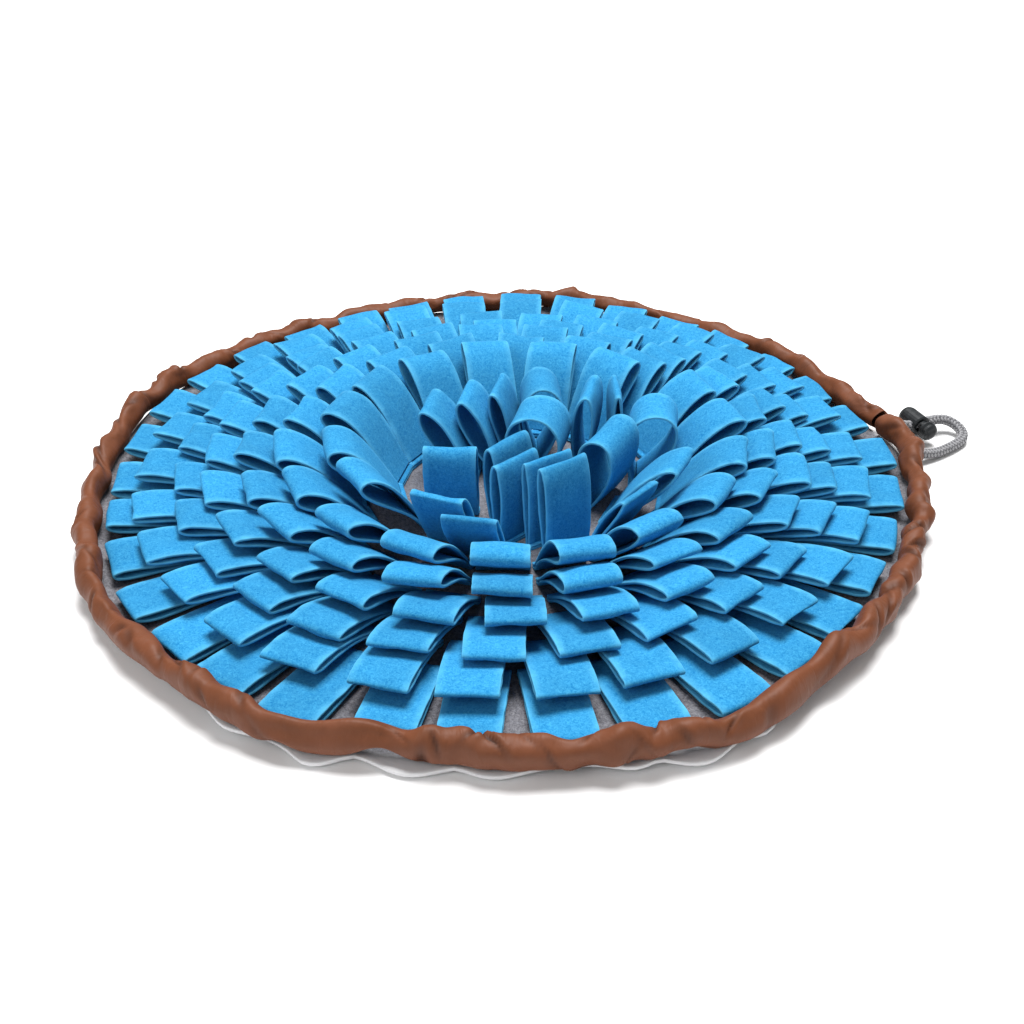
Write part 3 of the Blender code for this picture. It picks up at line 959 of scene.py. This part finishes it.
@dataclass(frozen=True)
class Pinch:
    """One short fold that the gathering presses into the casing."""

    run: float  # millimetres along the casing
    slant: float  # millimetres along the casing for each radian round it
    depth: float
    width: float
    turn: float  # angle round the casing's section at its middle, radians
    spread: float  # how far round it reaches, radians
    ridge_at: float = 1.9  # from the valley to the ridge beside it, in widths of the valley
    ridge_width: float = 1.3  # in widths of the valley
    ridge_height: float = 0.6  # share of the depth

    def at(self, run: float, turn: float) -> tuple[float, float]:
        """Gives how far the fold moves the cloth out, and how deep in the fold a point is, from 0 to 1."""
        around = (turn - self.turn + math.pi) % math.tau - math.pi
        reach = math.exp(-((around / self.spread) ** 2))
        off = (run - self.run - self.slant * around) / self.width
        valley = math.exp(-(off**2)) * reach
        ridge = math.exp(-(((off - self.ridge_at) / self.ridge_width) ** 2)) * reach
        return self.depth * (self.ridge_height * ridge - valley), valley


@dataclass(frozen=True)
class Drift:
    """A smooth, uneven change along the casing."""

    every: float  # millimetres from one high place to the next, about
    size: float
    lane: float  # with shelf, the stretch of the noise that it reads
    shelf: float
    around: float = 0.8  # how much it also changes round the casing's section

    def at(self, run: float, turn: Optional[float] = None) -> float:
        """Gives the change at a place along the casing and, if the angle is given, round its section."""
        lane, shelf = self.lane, self.shelf
        if turn is not None:
            lane += self.around * math.cos(turn)
            shelf += self.around * math.sin(turn)
        return noise.noise(Vector((run / self.every, lane, shelf))) * self.size


@dataclass
class GatheredCasing:
    """Strip of thin brown nylon sewn round the base as a tunnel, gathered by its cord, with one mouth."""

    mouth_at: float = 11.0  # azimuth of the mouth, degrees
    mouth_half: float = 0.72
    lip_spread: float = 2.6
    lip_out: float = 4.0
    steps: int = 1100
    around: int = 30
    cloth_thick: float = 0.4
    cut_width: float = 50.0  # of the strip before it is sewn
    fullness: float = 1.2  # length of the strip over the length of the casing
    swell: Drift = Drift(19.0, 2.1, 0.0, 3.0)  # between the gathers
    wrinkle: Drift = Drift(5.0, 0.22, 0.0, 5.0)
    sway: Drift = Drift(15.0, 3.2, 4.4, 9.1)  # in and out
    rise: Drift = Drift(17.0, 3.2, 1.3, 6.6)  # up, of its upper side
    crest: Drift = Drift(13.0, 0.9, 7.1, 2.2)
    # where its underside arches up over the base's margin: azimuth, half of the width in degrees, height
    arches: tuple[Triple, ...] = ((246.5, 1.6, 5.0), (257, 2.6, 8.0), (289, 2.6, 4.5))
    arch_over: float = 0.25  # share of an arch's height that the casing's upper side follows
    seat: float = 0.45  # how far the cloth sinks onto the base
    hem_at: float = -0.95  # angle round the section where the casing is sewn down, radians
    hem_half: float = 0.12
    hem_depth: float = 0.8
    pinch_reach: float = 26.0  # beyond this a pinch moves nothing
    deepest: float = 2.3  # of the pinches

    def __post_init__(self) -> None:
        """Draws the pinches by chance."""
        chance = random.Random(SEED + 5)
        self.pinches: list[Pinch] = []
        run, end = 0.0, math.tau * self.outline_mean() + 20
        while run < end:
            self.pinches.append(
                Pinch(
                    run,
                    chance.uniform(-11, 11),
                    chance.uniform(0.7, self.deepest),
                    chance.uniform(1.2, 3.0),
                    chance.uniform(-0.6, 2.4),
                    chance.uniform(0.5, 1.4),
                )
            )
            run += chance.uniform(7, 24)

    def folds(self, run: float, turn: float) -> tuple[float, float]:
        """Adds up the pinches near a point: how far they move it out, and how deep in one it is."""
        out, deep = 0.0, 0.0
        for pinch in self.pinches:
            if abs(pinch.run - run) < self.pinch_reach:
                moved, depth = pinch.at(run, turn)
                out += moved
                deep = max(deep, depth * pinch.depth / self.deepest)
        return out, deep

    def lift(self, azimuth: float, run: float, turn: float) -> float:
        """How far the gathers push a point of the cloth up."""
        up, down = max(0.0, math.sin(turn)), max(0.0, -math.sin(turn))
        arch = sum(high * hump(azimuth, at, half) for at, half, high in self.arches)
        return max(0.0, self.rise.at(run)) * up**0.5 + arch * (self.arch_over + (1 - self.arch_over) * down)

    def place(self, azimuth: float, turn: float) -> tuple[Vector, float]:
        """Gives a point of the cloth.

        Args:
            azimuth: where along the casing, in degrees.
            turn: angle round its section, in radians; 0 points outwards.

        Returns:
            The point in metres, and how much painted shade it takes, from its depth in a pinch and on the
            hem.
        """
        middle_radius = PLAN.radius(azimuth)
        run = math.radians(azimuth % 360) * middle_radius
        half_width, half_height = PLAN.casing_half(azimuth)
        middle = PLAN.curl(azimuth) + PLAN.base_thick + 2 * PLAN.fit + half_height
        lip = hump(azimuth, self.mouth_at, self.lip_spread)
        hem = math.exp(-((((turn - self.hem_at + math.pi) % math.tau - math.pi) / self.hem_half) ** 2))
        seated = max(0.0, -math.sin(turn)) ** 3
        fold, deep = self.folds(run, turn)
        out = (self.swell.at(run, turn) + fold) * (1 - 0.8 * seated) + self.seat * seated
        out += self.wrinkle.at(run, turn) * (1 + 4.5 * lip) - self.hem_depth * hem
        crest = self.crest.at(run) * max(0.0, math.sin(turn)) ** 2
        point = polar(
            middle_radius + self.sway.at(run) + self.lip_out * lip + (half_width + out) * math.cos(turn),
            azimuth,
            middle + self.lift(azimuth, run, turn) + (half_height + out) * math.sin(turn) + crest,
        )
        # Painted shade: how deep the point lies in a pinch, and on the hem.
        return point, min(1.0, 0.85 * deep + 0.8 * hem)

    def build(self, finish: bpy.types.Material) -> None:
        """Makes the casing."""
        bm = bmesh.new()
        # Layer of painted shade for the creases and the hem, which the cloth's finish reads.
        painted_shade_mask = point_layer(bm, "painted_shade")
        bm.loops.layers.uv.new(CLOTH)
        start, span = self.mouth_at + self.mouth_half, 360 - 2 * self.mouth_half
        length = math.radians(span) * self.outline_mean() * MM
        girth = self.cut_width * MM

        def place(u: float, v: float) -> tuple[Vector, float]:
            """A point of the cloth, and how much painted shade it takes."""
            return self.place(start + span * u, math.tau * (v % 1) - math.pi / 2)

        add_rolled_grid(bm, self.steps, self.around, painted_shade_mask, place, lambda u, v: (u * length, v * girth))
        piece = as_object("gathered_casing", bm, finish, Slot.BROWN_CLOTH)
        wall = piece.modifiers.new("cloth", "SOLIDIFY")
        wall.thickness = self.cloth_thick * MM
        wall.offset = -1.0
        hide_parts("casing")

    def outline_mean(self) -> float:
        """Mean radius of the casing's middle line."""
        return sum(radius for _, radius in PLAN.outline) / len(PLAN.outline)


# -------------------- Drawcord and cord lock --------------------


@dataclass
class Drawcord:
    """Loop of knitted cord that comes out of the casing's mouth, runs through the lock and goes back in."""

    diameter: float = 5.0
    samples: int = 220
    strands: int = 6  # wound each way
    turn_length: float = 16.0  # of one full turn of a strand
    strand_radius: float = 1.05
    core_radius: float = 2.1
    strand_sides: int = 6
    core_sides: int = 16
    proud: float = 0.05  # how far a strand's middle stands out of the core
    crossing: float = 0.22  # how far it rises and dips as it crosses the others
    shades: tuple[tuple[int, float], ...] = ((-1, 0.6), (1, 0.15))  # of the strands that wind each way
    route: tuple[Triple, ...] = (
        *((241, 46.85, 12.5), (247.4, 48.1, 11.4), (253.4, 48, 10.2), (258.97, 47.91, 9.5)),
        *((266, 50.5, 9.5), (273.04, 53.09, 9.5), (280, 55.6, 9.3), (285.8, 56.4, 8.4)),
        *((290.7, 54.3, 6.9), (293.7, 50, 5.3), (294.1, 44.7, 4.3), (291.7, 39.4, 3.7)),
        *((286.4, 34.2, 3.5), (279.2, 28.9, 3.5), (271.6, 24, 3.8), (262.4, 19.6, 5.6), (254, 17.2, 9)),
    )

    def smooth_route(self) -> list[Vector]:
        """Points on a smooth curve through the route's, in millimetres."""
        padded = [self.route[0], *self.route, self.route[-1]]
        points = []
        for i in range(self.samples + 1):
            at = i * (len(self.route) - 1) / self.samples
            k = min(int(at), len(self.route) - 2)
            points.append(smooth_between(*(Vector(padded[k + n]) for n in range(4)), at - k))
        return points

    def frames(self, points: list[Vector]) -> list[Across]:
        """Gives each point with two directions across the cord that don't twist along it."""
        side = Vector((0, 0, 1))
        rows = []
        for i, here in enumerate(points):
            run = (points[min(i + 1, len(points) - 1)] - points[max(i - 1, 0)]).normalized()
            side = (side - run * side.dot(run)).normalized()
            rows.append((here, side, run.cross(side)))
        return rows

    def beside(self, row: Across, radius: float, angle: float) -> Vector:
        """A point at a distance from a line, from a row of its frames."""
        centre, side, other = row
        return centre + (side * math.cos(angle) + other * math.sin(angle)) * radius

    def strand(self, rows: list[Across], run: list[float], way: int, start: float) -> list[Vector]:
        """Middles of a strand that winds one way round the core, from an angle on."""
        middles = []
        for row, at in zip(rows, run):
            turns = math.tau * at / self.turn_length
            over = self.crossing * way * math.cos(self.strands * turns)
            middles.append(self.beside(row, self.core_radius + self.proud + over, start + way * turns))
        return middles

    def build(self, finish: bpy.types.Material, lock: list[Any]) -> None:
        """Args:
            finish: its material.
            lock: the cord lock's pieces, which are on it; not used.
        """
        points = self.smooth_route()
        rows = self.frames(points)
        run = [0.0]
        for a, b in zip(points, points[1:]):
            run.append(run[-1] + (b - a).length)
        bm = bmesh.new()
        yarn = point_layer(bm, "yarn")
        bm.loops.layers.uv.new(CLOTH)
        self.add_tube(bm, yarn, run, points, self.core_radius, self.core_sides, 1.0)
        for way, shade in self.shades:
            for k in range(self.strands):
                middles = self.strand(rows, run, way, math.tau * k / self.strands)
                self.add_tube(bm, yarn, run, middles, self.strand_radius, self.strand_sides, shade)
        piece = as_object("knitted_drawcord", bm, finish, Slot.GREY_CORD)
        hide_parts("drawcord")
        tuple(v * MM for v in self.route[0])

    def add_tube(
        self,
        bm: bmesh.types.BMesh,
        yarn: Any,
        run: list[float],
        middles: list[Vector],
        radius: float,
        sides: int,
        shade: float,
    ) -> None:
        """Adds a closed tube along the cord.

        Args:
            bm: the mesh.
            yarn: the layer for how dark the yarn is.
            run: millimetres along the cord of each sample.
            middles: the tube's middle at each sample.
            radius: its radius.
            sides: how many sides it has.
            shade: how dark the yarn is, from 0 to 1.
        """
        frames, last = self.frames(middles), len(run) - 1

        def place(u: float, v: float) -> tuple[Vector, float]:
            """A point of the tube, and how dark it is."""
            return self.beside(frames[round(u * last)], radius, math.tau * (v % 1)) * MM, shade

        def measure(u: float, v: float) -> tuple[float, float]:
            """Metres along the cord and round the tube."""
            return run[round(u * last)] * MM, v * math.tau * radius * MM

        close_ends(bm, add_rolled_grid(bm, last, sides, yarn, place, measure))


@dataclass
class CordLock:
    """Barrel and sprung button of the cord lock: the part's own solids."""

    nodes: tuple[str, ...] = ("lock_barrel", "lock_button")

    def dress(self, finish: bpy.types.Material) -> list[Any]:
        """Gives the lock's solids their finish and returns them."""
        pieces = []
        for name in self.nodes:
            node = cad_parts[name]
            piece = bpy.data.objects[node] if isinstance(node, str) else node
            piece.data.materials.clear()
            piece.data.materials.append(finish)
            pieces.append(piece)
        return pieces


# -------------------- Camera, light and floor --------------------


@dataclass
class PhotoCamera:
    """Camera that sees the mat as the photograph does."""

    target: tuple[float, float] = (5.888, -32.109)
    distance: float = 705.177
    elevation: float = 34.196  # degrees above the floor
    roll: float = -0.553  # degrees
    focal: float = 1200.0  # in pixels of a photograph 1024 pixels wide
    photo_width: float = 1024.0
    sensor: float = 36.0

    def build(self) -> None:
        """Makes the camera and looks through it."""
        data = bpy.data.cameras.new("photo_camera")
        data.sensor_width = self.sensor
        data.lens = self.focal / self.photo_width * self.sensor
        data.clip_start, data.clip_end = 0.01, 20.0
        camera = bpy.data.objects.new("photo_camera", data)
        bpy.context.scene.collection.objects.link(camera)
        tilt, roll = math.radians(self.elevation), math.radians(self.roll)
        ahead = Vector((0, math.cos(tilt), -math.sin(tilt)))
        right = Vector((1, 0, 0))
        up = right.cross(ahead)
        across = right * math.cos(roll) + up * math.sin(roll)
        above = up * math.cos(roll) - right * math.sin(roll)
        axes = Matrix((across, above, -ahead)).transposed().to_4x4()
        spot = Vector((*self.target, 0)) - ahead * self.distance
        camera.matrix_world = Matrix.Translation(spot * MM) @ axes
        bpy.context.scene.camera = camera


@dataclass
class Studio:
    """White floor, an even white surround and two soft boxes; in metres, where nothing else is said."""

    floor_size: float = 12.0
    floor_gap: float = 0.4  # millimetres below the mat, so that the two never share a plane
    surround: float = 0.34

    def build(self) -> None:
        """Makes the floor, the surround and the lights."""
        self.add_floor()
        self.add_surround()
        self.add_soft_box("top_box", (0.12, 0.45, 2.2), 1.1, 88.0)
        self.add_soft_box("front_box", (-0.9, -1.1, 1.2), 1.0, 8.0)
        bpy.context.scene.view_settings.view_transform = "Standard"

    def add_floor(self) -> None:
        """Makes the floor."""
        bm = bmesh.new()
        bmesh.ops.create_grid(bm, x_segments=1, y_segments=1, size=self.floor_size / 2)
        mesh = bpy.data.meshes.new("floor")
        bm.to_mesh(mesh)
        bm.free()
        finish = bpy.data.materials.new("painted_board_white")
        finish.use_nodes = True
        tree = finish.node_tree
        feed(tree, tree.nodes[SHADER], {"Base Color": linear("#f6f6f6"), "Roughness": 0.9})
        mesh.materials.append(finish)
        floor = bpy.data.objects.new("floor", mesh)
        floor.location.z = -self.floor_gap * MM
        bpy.context.scene.collection.objects.link(floor)
        floor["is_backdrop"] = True

    def add_surround(self) -> None:
        """Lights the scene evenly from all round."""
        world = bpy.data.worlds.new("surround")
        world.use_nodes = True
        tree = world.node_tree
        feed(tree, tree.nodes["Background"], {"Color": linear("#ffffff"), "Strength": self.surround})
        bpy.context.scene.world = world

    def add_soft_box(self, name: str, spot: Triple, size: float, power: float) -> None:
        """Adds a square light that faces the mat.

        Args:
            name: its name.
            spot: its place.
            size: its side.
            power: in watts.
        """
        data = bpy.data.lights.new(name, "AREA")
        data.size = size
        data.energy = power
        light = bpy.data.objects.new(name, data)
        light.location = spot
        light.rotation_euler = Vector(spot).to_track_quat("Z", "Y").to_euler()
        bpy.context.scene.collection.objects.link(light)


def main() -> None:
    """Builds and dresses every piece, and works out the two sizes."""
    logging.basicConfig(level=logging.INFO, format="%(name)s %(message)s")
    PhotoCamera().build()
    Studio().build()
    lock = CordLock().dress(BLACK_ACETAL.make())
    Drawcord().build(GREY_YARN.make(), lock)
    FeltBase().build(GREY_FELT.make())
    GatheredCasing().build(BROWN_NYLON.make())
    FeltLoops().build(BLUE_FELT.make())
    boxes = {"cad": solid_box, "visual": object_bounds()}
    {name: [list(corner) for corner in box] for name, box in boxes.items()}


if __name__ == "__main__":
    main()
